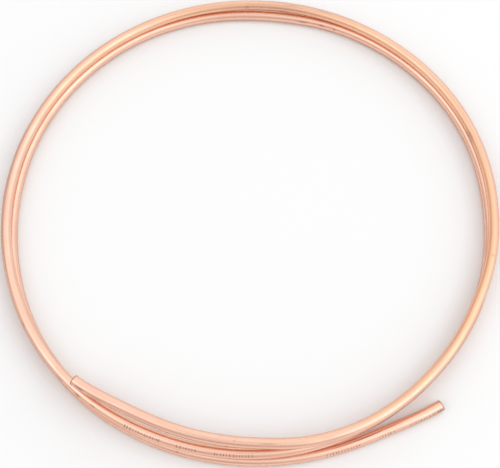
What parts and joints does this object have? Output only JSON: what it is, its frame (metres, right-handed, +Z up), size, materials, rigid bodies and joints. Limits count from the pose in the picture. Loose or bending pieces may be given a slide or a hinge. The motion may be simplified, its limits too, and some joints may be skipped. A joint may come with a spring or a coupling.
{
  "type": "copper tube coil",
  "caption": "Loose flat coil of soft copper tube lying on its side, wound clockwise, with both square-cut ends free.",
  "frame": {"origin": "middle of the coil's bounding box, on the floor that it lies on", "axes": "+Z up through the eye of the coil; seen from the front (-Y) the two cut ends are near, the outer end on the right (+X) and the upper end on the left (-X)"},
  "size_m": [0.2939, 0.2976, 0.0205],
  "materials": {
    "copper": "bright drawn soft copper, lightly handled"
  },
  "bodies": {
    "root": {"copper_tube": "copper"}
  },
  "joints": []
}
